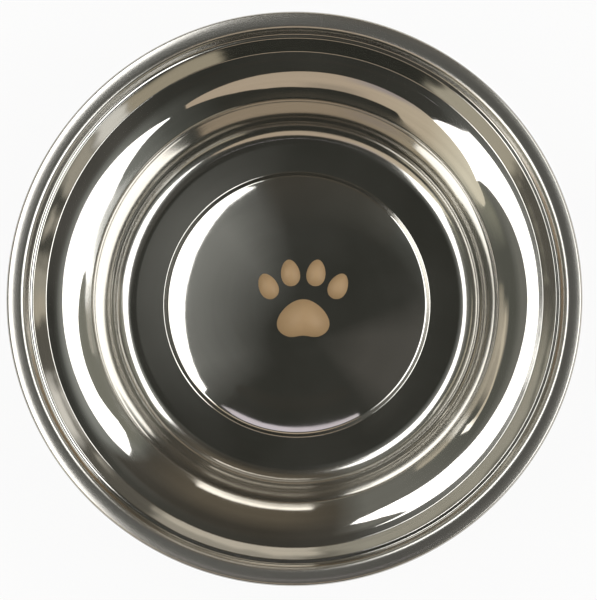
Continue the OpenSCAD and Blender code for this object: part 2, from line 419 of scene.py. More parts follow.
non_slip_ring = revolve("non_slip_ring_rubber", ring_section, BOWL_STEPS)
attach(non_slip_ring, "root")
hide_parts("non_slip_ring")

# %% [markdown]
# ## The paw print
# The print is a skin of ink on the domed disc. Each pad starts as a filled circle, and is ringed inwards so
# that it can follow the dome. Then it is shaped, laid on the steel and given the ink's thickness.

# %% Lay the paw print on the dome
PRINT_T = 0.15 * MM
PRINT_GAP = 0.02 * MM
PRINT_X = 2.5 * MM
PRINT_Y = -1.5 * MM
HEEL_W = 19 * MM
HEEL_H = 15 * MM
TOE_W = 7 * MM
TOE_H = 10 * MM
TOE_REACH = 18 * MM
TOE_SPREAD = 31
HEEL_TAPER_SHARE = 0.24
TOE_TAPER_SHARE = 0.16
HEEL_NOTCH_SHARE = 0.10
HEEL_NOTCH_WIDTH_SHARE = 0.35
TOE_FAN_SHARE = 0.55
PAW_DROP_SHARE = 0.25
TOE_COUNT = 4
PAD_STEPS = 72
PAD_RINGS = 7


def dome_height(r):
    """Height of the disc's surface at a radius, from the dome's own arc."""
    _, dome_z, dome_bend = upper[1]
    return dome_z - (dome_bend - sqrt(dome_bend * dome_bend - r * r))


def add_disc(bm):
    """A filled circle of radius 1, ringed inwards, and the set of its vertices."""
    before = set(bm.verts)
    made = bmesh.ops.create_circle(bm, cap_ends=True, segments=PAD_STEPS, radius=1)
    face = made["verts"][0].link_faces[0]
    for _ in range(PAD_RINGS):
        bmesh.ops.inset_region(bm, faces=[face], thickness=1 / (PAD_RINGS + 1), use_even_offset=True)
    bmesh.ops.poke(bm, faces=[face])
    return set(bm.verts) - before


def shape_pad(co, width, height, taper, notch):
    """Moves a point of the disc to where it lies in a pad of that size, wider and cleft at its foot."""
    x, y = co.x, co.y
    cleft = notch * exp(-(x / HEEL_NOTCH_WIDTH_SHARE) ** 2) * max(-y, 0)
    return Vector((width / 2 * x * (1 - taper * y), height / 2 * y + height * cleft, 0))


def turn_flat(point, angle):
    """A point turned round the axis, in degrees."""
    a = radians(angle)
    return Vector((point.x * cos(a) - point.y * sin(a), point.x * sin(a) + point.y * cos(a), 0))


def add_pad(bm, size, notch, fan, reach, lean):
    """One pad: a shaped disc that is turned by fan, moved out by reach and swung to its place by lean."""
    middle = Vector((PRINT_X, PRINT_Y - TOE_REACH * PAW_DROP_SHARE, 0))
    for v in add_disc(bm):
        flat = turn_flat(shape_pad(v.co, *size, notch), fan) + Vector((0, reach, 0))
        v.co = turn_flat(flat, lean) + middle


def lay_print(bm):
    """The heel pad and the toe pads, laid on the dome and made as thick as the ink."""
    add_pad(bm, (HEEL_W, HEEL_H, HEEL_TAPER_SHARE), HEEL_NOTCH_SHARE, 0, 0, 0)
    for i in range(TOE_COUNT):
        lean = -(i - (TOE_COUNT - 1) / 2) * TOE_SPREAD
        add_pad(bm, (TOE_W, TOE_H, TOE_TAPER_SHARE), 0, -lean * (1 - TOE_FAN_SHARE), TOE_REACH, lean)
    for v in bm.verts:
        v.co.z = dome_height(v.co.xy.length) + PRINT_GAP
    grown = bmesh.ops.extrude_face_region(bm, geom=bm.faces[:])
    tops = [g for g in grown["geom"] if isinstance(g, bmesh.types.BMVert)]
    bmesh.ops.translate(bm, verts=tops, vec=(0, 0, PRINT_T))
    bmesh.ops.recalc_face_normals(bm, faces=bm.faces[:])


bm = bmesh.new()
lay_print(bm)
paw_print = piece_from(bm, "paw_print_ink")
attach(paw_print, "root")
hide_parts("paw_print")

# %% [markdown]
# ## Shared finishes
# The steel was spun while it was polished, so its finish changes with the distance from the axis. Marks and
# grain lie on more than one material. Each such effect is a node group that reads Object coordinates. It is
# built once and has named inputs, so every material that uses it can set its own sizes.

# %% Helpers for node groups and materials
def new_group(name, inputs, outputs):
    """An empty node group with named float inputs, given as (name, default), and named outputs."""
    tree = bpy.data.node_groups.new(name, "ShaderNodeTree")
    for label, default in inputs:
        socket = tree.interface.new_socket(name=label, in_out="INPUT", socket_type="NodeSocketFloat")
        socket.default_value = default
    for label in outputs:
        tree.interface.new_socket(name=label, in_out="OUTPUT", socket_type="NodeSocketFloat")
    return tree


def add_node(tree, kind, **settings):
    """Adds a node and sets its own properties, such as an operation."""
    node = tree.nodes.new(kind)
    for key, value in settings.items():
        setattr(node, key, value)
    return node


def set_inputs(tree, node, values):
    """Sets sockets by name or index: a socket is linked, and a plain value is typed in."""
    for key, value in values.items():
        if isinstance(value, bpy.types.NodeSocket):
            tree.links.new(value, node.inputs[key])
        else:
            node.inputs[key].default_value = value
    return node


def math(tree, operation, a, b=0.0, clamp=False):
    """The result of one Math node."""
    node = add_node(tree, "ShaderNodeMath", operation=operation, use_clamp=clamp)
    return set_inputs(tree, node, {0: a, 1: b}).outputs[0]


def noise(tree, vector, scale, detail=2.0, rough=0.5):
    """The value of a Noise Texture."""
    node = add_node(tree, "ShaderNodeTexNoise")
    set_inputs(tree, node, {"Vector": vector, "Scale": scale, "Detail": detail, "Roughness": rough})
    return node.outputs["Fac"]


def use_group(tree, group, **values):
    """Places a node group and sets its inputs."""
    node = add_node(tree, "ShaderNodeGroup", node_tree=group)
    return set_inputs(tree, node, {key.replace("_", " "): value for key, value in values.items()})


# %% [markdown]
# ### Turned lines
# A buffing wheel leaves hair lines that run round the bowl. An image would blur in close views, so the
# lines are noise, read at a point made of the radius, the height and a little of the direction. That draws
# it out into long arcs. The group also gives broad bands, in which the steel's colour changes a little.

# %% Build the turned lines group
BAND_SHARE = 0.12


def build_turned_lines():
    """Fine lines as a height, and broad bands as a mask, both running round the axis."""
    tree = new_group("turned lines", [("Lines per mm", 4.0), ("Streak", 6.0)], ["Height", "Band"])
    inputs = add_node(tree, "NodeGroupInput")
    outputs = add_node(tree, "NodeGroupOutput")
    place = add_node(tree, "ShaderNodeTexCoord").outputs["Object"]
    split = set_inputs(tree, add_node(tree, "ShaderNodeSeparateXYZ"), {0: place}).outputs
    round_axis = add_node(tree, "ShaderNodeCombineXYZ")
    set_inputs(tree, round_axis, {"X": split["X"], "Y": split["Y"]})
    length = add_node(tree, "ShaderNodeVectorMath", operation="LENGTH")
    radius = set_inputs(tree, length, {0: round_axis.outputs[0]}).outputs["Value"]
    unit = add_node(tree, "ShaderNodeVectorMath", operation="NORMALIZE")
    set_inputs(tree, unit, {0: round_axis.outputs[0]})
    streaks = add_node(tree, "ShaderNodeVectorMath", operation="SCALE")
    set_inputs(tree, streaks, {0: unit.outputs[0], "Scale": inputs.outputs["Streak"]})
    density = math(tree, "MULTIPLY", inputs.outputs["Lines per mm"], 1 / MM)
    across = math(tree, "ADD", math(tree, "MULTIPLY", radius, density),
                  math(tree, "MULTIPLY", split["Z"], density))
    lift = set_inputs(tree, add_node(tree, "ShaderNodeCombineXYZ"), {"Z": across})
    point = add_node(tree, "ShaderNodeVectorMath", operation="ADD")
    set_inputs(tree, point, {0: streaks.outputs[0], 1: lift.outputs[0]})
    fine = noise(tree, point.outputs[0], 1.0, detail=3.0, rough=0.6)
    broad_lift = set_inputs(tree, add_node(tree, "ShaderNodeCombineXYZ"),
                            {"Z": math(tree, "MULTIPLY", across, BAND_SHARE)})
    broad_point = add_node(tree, "ShaderNodeVectorMath", operation="ADD")
    set_inputs(tree, broad_point, {0: unit.outputs[0], 1: broad_lift.outputs[0]})
    broad = noise(tree, broad_point.outputs[0], 1.0, detail=2.0)
    tree.links.new(fine, outputs.inputs["Height"])
    tree.links.new(broad, outputs.inputs["Band"])
    return tree


turned_lines = build_turned_lines()
print("group:", turned_lines.name)

# %% [markdown]
# ### Handling marks
# Polished steel is never evenly clear. Faint cloudy patches and short hair scratches make its gloss vary.
# The scratches are noise that is stretched along three directions, and raised to a power so that few
# remain.

# %% Build the handling marks group
SCRATCH_ANGLES = (20, 75, 130)
SCRATCH_STRETCH_SHARE = 0.05
SCRATCH_POWER = 6.0


def build_handling_marks():
    """Cloudy patches and hair scratches, both as masks."""
    tree = new_group("handling marks", [("Patch size mm", 25.0), ("Scratch size mm", 1.5)],
                     ["Patches", "Scratches"])
    inputs = add_node(tree, "NodeGroupInput")
    outputs = add_node(tree, "NodeGroupOutput")
    place = add_node(tree, "ShaderNodeTexCoord").outputs["Object"]
    patch_scale = math(tree, "DIVIDE", 1 / MM, inputs.outputs["Patch size mm"])
    patches = noise(tree, place, patch_scale, detail=4.0, rough=0.55)
    scratch_scale = math(tree, "DIVIDE", 1 / MM, inputs.outputs["Scratch size mm"])
    total = None
    for angle in SCRATCH_ANGLES:
        turned = add_node(tree, "ShaderNodeMapping")
        set_inputs(tree, turned, {"Vector": place, "Rotation": (0, 0, radians(angle)),
                                  "Scale": (1, SCRATCH_STRETCH_SHARE, 1)})
        lines = noise(tree, turned.outputs[0], scratch_scale, detail=2.0)
        sharp = math(tree, "POWER", lines, SCRATCH_POWER)
        total = sharp if total is None else math(tree, "ADD", total, sharp)
    tree.links.new(patches, outputs.inputs["Patches"])
    tree.links.new(math(tree, "MULTIPLY", total, 1.0, clamp=True), outputs.inputs["Scratches"])
    return tree


handling_marks = build_handling_marks()
print("group:", handling_marks.name)

# %% [markdown]
# ### Moulded grain
# Rubber takes the fine spark-eroded texture of its mould, and grows a paler bloom in broad patches. Fine
# noise makes the one and broad noise the other. Printed ink has a grain of the same kind.

# %% Build the moulded grain group
BLOOM_SHARE = 0.03


def build_moulded_grain():
    """The fine grain as a height, and the bloom as a mask."""
    tree = new_group("moulded grain", [("Grain size mm", 0.35)], ["Height", "Bloom"])
    inputs = add_node(tree, "NodeGroupInput")
    outputs = add_node(tree, "NodeGroupOutput")
    place = add_node(tree, "ShaderNodeTexCoord").outputs["Object"]
    scale = math(tree, "DIVIDE", 1 / MM, inputs.outputs["Grain size mm"])
    fine = noise(tree, place, scale, detail=3.0, rough=0.6)
    bloom = noise(tree, place, math(tree, "MULTIPLY", scale, BLOOM_SHARE), detail=4.0)
    tree.links.new(fine, outputs.inputs["Height"])
    tree.links.new(bloom, outputs.inputs["Bloom"])
    return tree


moulded_grain = build_moulded_grain()
print("group:", moulded_grain.name)

# %% [markdown]
# ## Materials
# Each material keeps its own Principled shader. The groups only feed it masks and heights.

# %% Helpers for materials
NOISE_SPAN = (0.3, 0.7)


def new_material(name):
    """A material with nodes, its tree and its Principled shader."""
    material = bpy.data.materials.new(name)
    material.use_nodes = True
    tree = material.node_tree
    print("material:", name)
    return material, tree, tree.nodes["Principled BSDF"]


def spread(tree, value, between, low, high):
    """Maps the values between two limits to the values from low to high, clamped at both ends."""
    node = add_node(tree, "ShaderNodeMapRange")
    set_inputs(tree, node, {"Value": value, "From Min": between[0], "From Max": between[1],
                            "To Min": low, "To Max": high})
    return node.outputs[0]


def bump(tree, height, depth, under=None):
    """A Bump node whose height runs from 0 to depth, in metres. It may lie on the normal of another."""
    node = add_node(tree, "ShaderNodeBump")
    set_inputs(tree, node, {"Height": height, "Distance": depth, "Strength": 1.0})
    if under is not None:
        tree.links.new(under, node.inputs["Normal"])
    return node.outputs[0]


def tint(tree, amount, dark, light):
    """A colour between two, by an amount from 0 to 1. The Mix node's colour sockets are 6, 7 and 2."""
    node = add_node(tree, "ShaderNodeMix", data_type="RGBA")
    set_inputs(tree, node, {0: amount, 6: (*dark, 1), 7: (*light, 1)})
    return node.outputs[2]


# %% [markdown]
# ### Turned band
# The rolled rim, the flank of the groove and the steep wall are finished by other tools than the rest, so
# they are less clear. This group is 1 between two radii and 0 outside them, with soft steps.

# %% Build the turned band group
def build_turned_band():
    """A mask between two radii."""
    tree = new_group("turned band", [("From mm", 98.0), ("To mm", 110.0), ("Softness mm", 1.0)], ["Mask"])
    inputs = add_node(tree, "NodeGroupInput").outputs
    outputs = add_node(tree, "NodeGroupOutput")
    place = add_node(tree, "ShaderNodeTexCoord").outputs["Object"]
    flatten = add_node(tree, "ShaderNodeVectorMath", operation="MULTIPLY")
    flat = set_inputs(tree, flatten, {0: place, 1: (1, 1, 0)}).outputs[0]
    length = add_node(tree, "ShaderNodeVectorMath", operation="LENGTH")
    radius = set_inputs(tree, length, {0: flat}).outputs["Value"]
    in_mm = math(tree, "MULTIPLY", radius, 1 / MM)
    past = math(tree, "DIVIDE", math(tree, "SUBTRACT", in_mm, inputs["From mm"]), inputs["Softness mm"])
    left = math(tree, "DIVIDE", math(tree, "SUBTRACT", inputs["To mm"], in_mm), inputs["Softness mm"])
    inner = math(tree, "ADD", past, 0.5, clamp=True)
    outer = math(tree, "ADD", left, 0.5, clamp=True)
    tree.links.new(math(tree, "MULTIPLY", inner, outer), outputs.inputs["Mask"])
    return tree


turned_band = build_turned_band()
print("group:", turned_band.name)

# %% [markdown]
# ### Polished steel
# Mirror steel is a metal with almost no roughness and a colour that is a little warm. Light that bounces
# twice or three times inside the bowl turns creamier by itself. Turned lines ripple the mirror very
# slightly. Fine wear adds a weak and broad second gloss, which glows round the images of the panels.

# %% Make the polished steel
STEEL_DARK = (0.60, 0.585, 0.55)
STEEL_LIGHT = (0.68, 0.665, 0.63)
POLISH_ROUGH = 0.025
POLISH_HAZE = 0.05
WALL_ROUGH = 0.12
FLANK_ROUGH = 0.08
RIM_ROUGH = 0.20
WEAR_ROUGH = 0.42
WEAR_LOW_SHARE = 0.02
WEAR_HIGH_SHARE = 0.06
RIM_WEAR_SHARE = 0.12
LINE_DEPTH = 0.00035 * MM
SCRATCH_DEPTH = 0.0004 * MM
WALL_FROM_MM = 61.0
WALL_TO_MM = 77.0
FLANK_FROM_MM = 90.8
RIM_FROM_MM = 98.4
RIM_TO_MM = 110.0
HAZE_SPAN = (0.35, 0.7)
WEAR_SPAN = (0.3, 0.75)


def make_polished_steel():
    """The food bowl's steel: a mirror, less clear in three bands, under a thin share of wear."""
    material, tree, mirror = new_material("polished steel")
    lines = use_group(tree, turned_lines, Lines_per_mm=3.0, Streak=5.0)
    marks = use_group(tree, handling_marks, Patch_size_mm=30.0, Scratch_size_mm=0.6)
    rim = use_group(tree, turned_band, From_mm=RIM_FROM_MM, To_mm=RIM_TO_MM, Softness_mm=1.2)
    flank = use_group(tree, turned_band, From_mm=FLANK_FROM_MM, To_mm=RIM_FROM_MM, Softness_mm=0.8)
    wall = use_group(tree, turned_band, From_mm=WALL_FROM_MM, To_mm=WALL_TO_MM, Softness_mm=2.5)
    rim_gloss = math(tree, "MULTIPLY", rim.outputs["Mask"], RIM_ROUGH)
    flank_gloss = math(tree, "MULTIPLY", flank.outputs["Mask"], FLANK_ROUGH)
    wall_gloss = math(tree, "MULTIPLY", wall.outputs["Mask"], WALL_ROUGH)
    turned = math(tree, "ADD", rim_gloss, math(tree, "ADD", flank_gloss, wall_gloss))
    haze = spread(tree, marks.outputs["Patches"], HAZE_SPAN, POLISH_ROUGH, POLISH_HAZE)
    gloss = math(tree, "MAXIMUM", haze, turned)
    colour = tint(tree, lines.outputs["Band"], STEEL_DARK, STEEL_LIGHT)
    rippled = bump(tree, lines.outputs["Height"], LINE_DEPTH)
    scratched = bump(tree, marks.outputs["Scratches"], SCRATCH_DEPTH, under=rippled)
    set_inputs(tree, mirror, {"Base Color": colour, "Metallic": 1.0, "Roughness": gloss,
                              "Normal": scratched})
    worn = add_node(tree, "ShaderNodeBsdfPrincipled")
    set_inputs(tree, worn, {"Base Color": colour, "Metallic": 1.0, "Roughness": WEAR_ROUGH})
    wear = spread(tree, marks.outputs["Patches"], WEAR_SPAN, WEAR_LOW_SHARE, WEAR_HIGH_SHARE)
    share = math(tree, "ADD", wear, math(tree, "MULTIPLY", rim.outputs["Mask"], RIM_WEAR_SHARE))
    both = set_inputs(tree, add_node(tree, "ShaderNodeMixShader"),
                      {0: share, 1: mirror.outputs[0], 2: worn.outputs[0]})
    tree.links.new(both.outputs[0], tree.nodes["Material Output"].inputs["Surface"])
    return material


food_bowl.data.materials.append(make_polished_steel())

# %% [markdown]
# ### Satin steel
# The outer shell is brushed round its wall. The lines are deeper, so the gloss is soft and drawn out.

# %% Make the satin steel
SATIN_DARK = (0.50, 0.49, 0.47)
SATIN_LIGHT = (0.60, 0.59, 0.57)
SATIN_CLEAR_ROUGH = 0.24
SATIN_DULL_ROUGH = 0.36
SATIN_DEPTH = 0.004 * MM


def make_satin_steel():
    """The outer shell's steel, brushed round its wall."""
    material, tree, shader = new_material("satin steel")
    lines = use_group(tree, turned_lines, Lines_per_mm=9.0, Streak=9.0)
    marks = use_group(tree, handling_marks, Patch_size_mm=40.0, Scratch_size_mm=1.0)
    gloss = spread(tree, marks.outputs["Patches"], NOISE_SPAN, SATIN_CLEAR_ROUGH, SATIN_DULL_ROUGH)
    colour = tint(tree, lines.outputs["Height"], SATIN_DARK, SATIN_LIGHT)
    brushed = bump(tree, lines.outputs["Height"], SATIN_DEPTH)
    set_inputs(tree, shader, {"Base Color": colour, "Metallic": 1.0, "Roughness": gloss,
                              "Normal": brushed})
    return material


outer_shell.data.materials.append(make_satin_steel())

# %% [markdown]
# ### Black rubber
# Rubber is never quite black. It has a broad weak gloss and a faint grey bloom.

# %% Make the black rubber
RUBBER_DARK = (0.018, 0.018, 0.020)
RUBBER_LIGHT = (0.040, 0.040, 0.042)
RUBBER_CLEAR_ROUGH = 0.55
RUBBER_DULL_ROUGH = 0.75
GRAIN_DEPTH = 0.02 * MM


def make_black_rubber():
    """The non-slip ring's rubber."""
    material, tree, shader = new_material("black rubber")
    grain = use_group(tree, moulded_grain, Grain_size_mm=0.35)
    colour = tint(tree, grain.outputs["Bloom"], RUBBER_DARK, RUBBER_LIGHT)
    gloss = spread(tree, grain.outputs["Height"], NOISE_SPAN, RUBBER_CLEAR_ROUGH, RUBBER_DULL_ROUGH)
    set_inputs(tree, shader, {"Base Color": colour, "Roughness": gloss,
                              "Normal": bump(tree, grain.outputs["Height"], GRAIN_DEPTH)})
    return material


non_slip_ring.data.materials.append(make_black_rubber())

# %% [markdown]
# ### Tan ink
# The ink is an even tan with a faint mottle, and it is less glossy than the steel around it.

# %% Make the tan ink
INK_DARK = (0.48, 0.32, 0.17)
INK_LIGHT = (0.58, 0.39, 0.21)
INK_CLEAR_ROUGH = 0.42
INK_DULL_ROUGH = 0.60
INK_DEPTH = 0.01 * MM


def make_tan_ink():
    """The paw print's ink."""
    material, tree, shader = new_material("tan ink")
    grain = use_group(tree, moulded_grain, Grain_size_mm=0.5)
    marks = use_group(tree, handling_marks, Patch_size_mm=9.0, Scratch_size_mm=0.8)
    colour = tint(tree, marks.outputs["Patches"], INK_DARK, INK_LIGHT)
    gloss = spread(tree, grain.outputs["Height"], NOISE_SPAN, INK_CLEAR_ROUGH, INK_DULL_ROUGH)
    set_inputs(tree, shader, {"Base Color": colour, "Roughness": gloss,
                              "Normal": bump(tree, grain.outputs["Height"], INK_DEPTH)})
    return material


paw_print.data.materials.append(make_tan_ink())

# %% [markdown]
# ## The studio
# A mirror has no look of its own: it shows the room. The room here is a dark canopy with a few bright
# panels, and a pale floor. All the panels but a small black flag hang far away, on about the same sphere,
# so that the shoulder and the disc see them alike. A panel's corner is a direction round the bowl,
# clockwise in the picture from the right, and an angle from straight overhead, both in degrees. It is
# given as it is seen from the metal that mirrors it: the far side of the shoulder, or the near side of the
# disc. The whole studio leans a little towards the camera.

# %% Helpers for the studio
STUDIO_R = 6.0
CANOPY_R = 6.6
STUDIO_LEAN = radians(1.9)
SHOULDER_SPOT = -80 * MM
DISC_SPOT = 45 * MM
SPOT_Z = BOWL_H - BOWL_DEPTH / 2

lean_axis = Vector((0, 0, 1)).cross(Vector((away.x, away.y, 0))).normalized()
studio_turn = Matrix.Rotation(STUDIO_LEAN, 3, lean_axis)
print("the studio leans in degrees:", round(degrees(STUDIO_LEAN), 1))


def towards(direction, angle):
    """The unit vector in a direction round the bowl, at an angle from overhead."""
    d, a = radians(direction), radians(angle)
    return Vector((sin(a) * cos(d), -sin(a) * sin(d), cos(a)))


def hang(direction, angle, spot, radius):
    """The place on the studio's sphere that a spot on the bowl sees in a direction."""
    start = towards(direction, 90) * spot + Vector((0, 0, SPOT_Z))
    ray = studio_turn @ towards(direction, angle)
    along = start.dot(ray)
    return start + ray * (sqrt(along ** 2 + radius ** 2 - start.length_squared) - along)


# %% [markdown]
# ### Soft patches of light
# The cloth and the panels aren't evenly lit. A patch is given by its direction, half its width and the
# softness of its sides, then by the high and the low angle between which it lies and the softness of these
# edges, all in degrees. Its colour comes last. The group turns Object coordinates into such a mask, and
# noise can warp its outline.

# %% Build the sector mask group
WARP_SCALE = 1.1
SIDE_WARP = 2.0


def build_sector_mask():
    """A soft-edged patch of the studio's sphere, as a mask."""
    tree = new_group("sector mask", [("Direction", 0.0), ("Half width", 40.0), ("Softness", 10.0),
                                     ("High angle", 30.0), ("Low angle", 80.0), ("Edge", 4.0),
                                     ("Warp", 0.0)], ["Mask"])
    inputs = add_node(tree, "NodeGroupInput").outputs
    outputs = add_node(tree, "NodeGroupOutput")
    upright = add_node(tree, "ShaderNodeTexCoord").outputs["Object"]
    back = add_node(tree, "ShaderNodeVectorRotate")
    place = set_inputs(tree, back, {"Vector": upright, "Axis": lean_axis, "Angle": -STUDIO_LEAN}).outputs[0]
    cloud = set_inputs(tree, add_node(tree, "ShaderNodeTexNoise"), {"Vector": place, "Scale": WARP_SCALE})
    drift = set_inputs(tree, add_node(tree, "ShaderNodeSeparateXYZ"), {0: cloud.outputs["Color"]}).outputs
    split = set_inputs(tree, add_node(tree, "ShaderNodeSeparateXYZ"), {0: place}).outputs
    flat = math(tree, "SQRT", math(tree, "ADD", math(tree, "POWER", split["X"], 2.0),
                                   math(tree, "POWER", split["Y"], 2.0)))
    true_angle = math(tree, "DEGREES", math(tree, "ARCTAN2", flat, split["Z"]))
    sink = math(tree, "MULTIPLY", math(tree, "SUBTRACT", drift["Y"], 0.5), inputs["Warp"])
    angle = math(tree, "ADD", true_angle, sink)
    minus_y = math(tree, "MULTIPLY", split["Y"], -1.0)
    direction = math(tree, "DEGREES", math(tree, "ARCTAN2", minus_y, split["X"]))
    swing = math(tree, "MULTIPLY", math(tree, "SUBTRACT", drift["X"], 0.5), inputs["Warp"])
    swung = math(tree, "ADD", direction, math(tree, "MULTIPLY", swing, SIDE_WARP))
    off = math(tree, "SUBTRACT", swung, inputs["Direction"])
    wrapped = add_node(tree, "ShaderNodeMath", operation="WRAP")
    set_inputs(tree, wrapped, {0: off, 1: 180.0, 2: -180.0})
    inside = math(tree, "SUBTRACT", inputs["Half width"], math(tree, "ABSOLUTE", wrapped.outputs[0]))
    side = math(tree, "ADD", math(tree, "DIVIDE", inside, inputs["Softness"]), 0.5, clamp=True)
    below = math(tree, "SUBTRACT", angle, inputs["High angle"])
    above = math(tree, "SUBTRACT", inputs["Low angle"], angle)
    top = math(tree, "ADD", math(tree, "DIVIDE", below, inputs["Edge"]), 0.5, clamp=True)
    low = math(tree, "ADD", math(tree, "DIVIDE", above, inputs["Edge"]), 0.5, clamp=True)
    mask = math(tree, "MULTIPLY", side, math(tree, "MULTIPLY", top, low))
    tree.links.new(mask, outputs.inputs["Mask"])
    return tree


sector_mask = build_sector_mask()
print("group:", sector_mask.name)

# %% Helpers for lit cloth
RAGGED_WARP = 7.0


def lit_cloth(name, colour, patches, strength=1.0, ragged=()):
    """A glowing cloth of one colour, under patches of other colours. The ragged patches come last."""
    material = bpy.data.materials.new(name)
    material.use_nodes = True
    tree = material.node_tree
    tree.nodes.clear()
    seen = (*colour, 1)
    for patch in (*patches, *ragged):
        direction, half_width, softness, high_angle, low_angle, edge, patch_colour = patch
        mask = use_group(tree, sector_mask, Direction=direction, Half_width=half_width, Softness=softness,
                         High_angle=high_angle, Low_angle=low_angle, Edge=edge,
                         Warp=RAGGED_WARP if patch in ragged else 0.0)
        mix = add_node(tree, "ShaderNodeMix", data_type="RGBA")
        seen = set_inputs(tree, mix, {0: mask.outputs[0], 6: seen, 7: (*patch_colour, 1)}).outputs[2]
    glow = set_inputs(tree, add_node(tree, "ShaderNodeEmission"), {"Color": seen, "Strength": strength})
    output = add_node(tree, "ShaderNodeOutputMaterial")
    tree.links.new(glow.outputs[0], output.inputs["Surface"])
    print("cloth:", name, "patches:", len(patches) + len(ragged))
    return material


def add_panel(name, material, in_shoulder=(), in_disc=(), radius=STUDIO_R):
    """A panel whose corners are seen in the shoulder, and then, further round, in the disc."""
    places = [hang(*corner, SHOULDER_SPOT, radius) for corner in in_shoulder]
    places += [hang(*corner, DISC_SPOT, radius) for corner in in_disc]
    bm = bmesh.new()
    made = bmesh.ops.create_circle(bm, cap_ends=True, segments=len(places), radius=1)
    for v, place in zip(made["verts"], places):
        v.co = place
    panel = piece_from(bm, name)
    panel.data.materials.append(material)
    panel.visible_camera = False


# %% [markdown]
# ### Panels
# Two softboxes hang left and right, a beige screen stands in front, a narrow window is low at the back, and
# a far window with a bright corner is low at the left. The left softbox also shows in the domed disc, as a
# bright crescent. A gap in the canopy lights the disc's front edge, and a black flag keeps it out of the
# shoulder.
# The corners were found backwards. Points on the edges of the light and dark shapes in the steel were
# picked on the photo, and the law of reflection says which way the light of each came from. Then
# the corners were moved until the mirrored shapes lay right.

# %% Light the panels' cloths
SOFTBOX_STRENGTH = 3.0
WINDOW_STRENGTH = 2.4

soft_white = lit_cloth("softbox white", (1.0, 0.995, 0.98), [
    (340, 16, 14, 56, 64, 1, (0.24, 0.23, 0.20)),
], SOFTBOX_STRENGTH)
window_white = lit_cloth("window white", (1.0, 0.95, 0.86), [], WINDOW_STRENGTH)
black_cloth = lit_cloth("black cloth", (0.036, 0.035, 0.028), [])
window_cream = lit_cloth("window cream", (0.78, 0.70, 0.55), [
    (221, 3, 3, 55, 66, 2, (1.9, 1.85, 1.7)),
])
lilac_white = lit_cloth("lilac white", (0.92, 0.86, 0.84), [
    (105, 60, 70, 10, 25, 2, (0.86, 0.80, 0.88)),
])
beige_cloth = lit_cloth("beige cloth", (0.60, 0.49, 0.37), [
    (162, 34, 30, 20, 80, 4, (0.70, 0.61, 0.46)),
    (165, 22, 16, 20, 80, 4, (0.93, 0.87, 0.70)),
    (122, 9, 10, 30, 37, 4, (0.46, 0.40, 0.38)),
    (105, 8, 8, 45, 52, 4, (0.47, 0.39, 0.30)),
])

# %% Hang the panels
BEIGE_R = 6.05
FLAG_R = 1.2

add_panel("left_softbox", soft_white, in_shoulder=[
    (145, 29), (138.5, 35.3), (137, 38), (142.5, 41), (150, 47), (154.5, 53), (155.5, 49.5), (159, 45.4),
    (165, 41.6), (172, 38.6), (180, 36.8), (190.6, 36.3), (203.5, 39.4), (216.1, 42.9), (228.5, 46.7),
    (236.9, 48), (243.6, 48.8), (248, 48), (252.5, 45), (254.4, 40.4), (251, 38.4), (247.8, 37),
    (244.5, 33.5), (243, 30.5),
], in_disc=[
    (250, 28.2), (245.6, 27.8), (238.1, 27.3), (230.8, 26.4), (223.4, 25.5), (215.9, 24.7), (208.4, 23.8),
    (202.9, 23.3), (196.4, 22.7), (189.7, 22.1), (183.5, 21.6), (176.2, 21.1), (169.4, 20.7), (161.2, 20.3),
    (154.9, 19.9), (150, 24)])
add_panel("right_softbox", soft_white, in_shoulder=[
    (307.6, 42.8), (309.5, 50), (312.5, 55.5), (315, 58.3), (318.6, 58.6), (321, 56.9), (326.5, 53.3),
    (334.3, 51.1), (343.5, 50.9), (352.1, 52.3), (358.7, 54.1), (362, 55), (357.8, 56.2), (347.3, 57.4),
    (338, 58.4), (338, 59.6), (350, 58.8), (362, 57.6), (366, 56.2), (376.1, 54.3), (384.9, 53.5),
    (391.6, 52.1), (398.2, 48.5), (404.9, 44.8), (413.5, 41.9), (413.4, 40.7), (406.7, 37.7), (394.4, 33.7),
    (382.1, 31.1), (370.2, 30.3), (358.7, 30.3), (347.9, 31.4), (337, 32.7), (327.9, 34.3), (318.6, 36.5),
    (312.4, 38.8)])
add_panel("beige_screen", beige_cloth, radius=BEIGE_R, in_shoulder=[
    (59.5, 37.8), (59.3, 42.4), (67, 44.9), (73.9, 47.6), (84.2, 50.2), (95.6, 51.2), (110.1, 51.6),
    (124, 53.2), (128, 56), (136, 58.5), (150, 60), (158, 60), (161, 58.5), (159, 55.5), (154.5, 52),
    (150, 46.5), (142.5, 40.6), (137, 37.4), (131, 35), (123, 33.4), (113, 32.2), (103, 31.7), (92, 32),
    (81, 33), (70, 34.6), (63, 36.3)])
add_panel("back_window", window_white, in_shoulder=[
    (263.1, 65.2), (263.1, 66.6), (271, 66.3), (280, 66), (287, 66), (292.8, 66.8), (292.7, 63.4),
    (286.7, 63.8), (280.4, 64.3), (271.5, 64.9)])
add_panel("far_window", window_cream, in_shoulder=[
    (182, 62.2), (192, 63.4), (205, 64.5), (220, 65.2), (236, 65.6), (235, 67.2), (220, 66.8), (205, 66),
    (192, 65), (183, 64)])
add_panel("bright_corner", window_cream, in_shoulder=[
    (187.1, 61.6), (196, 61.9), (203.9, 61.4), (209, 60), (213, 59.2), (220.5, 59), (222.3, 63.4),
    (219.5, 63.8), (217, 61.6), (211, 61.3), (205, 62.6), (196, 62.9)])
add_panel("black_flag", black_cloth, radius=FLAG_R, in_shoulder=[
    (55, 15.1), (79, 14.9), (100, 15.4), (120, 16.7), (138, 18.3), (146, 19.7), (146, 21.2), (138, 20.5),
    (128, 19.8), (113, 18.8), (100, 18.0), (79, 17.3), (55, 17.2)])
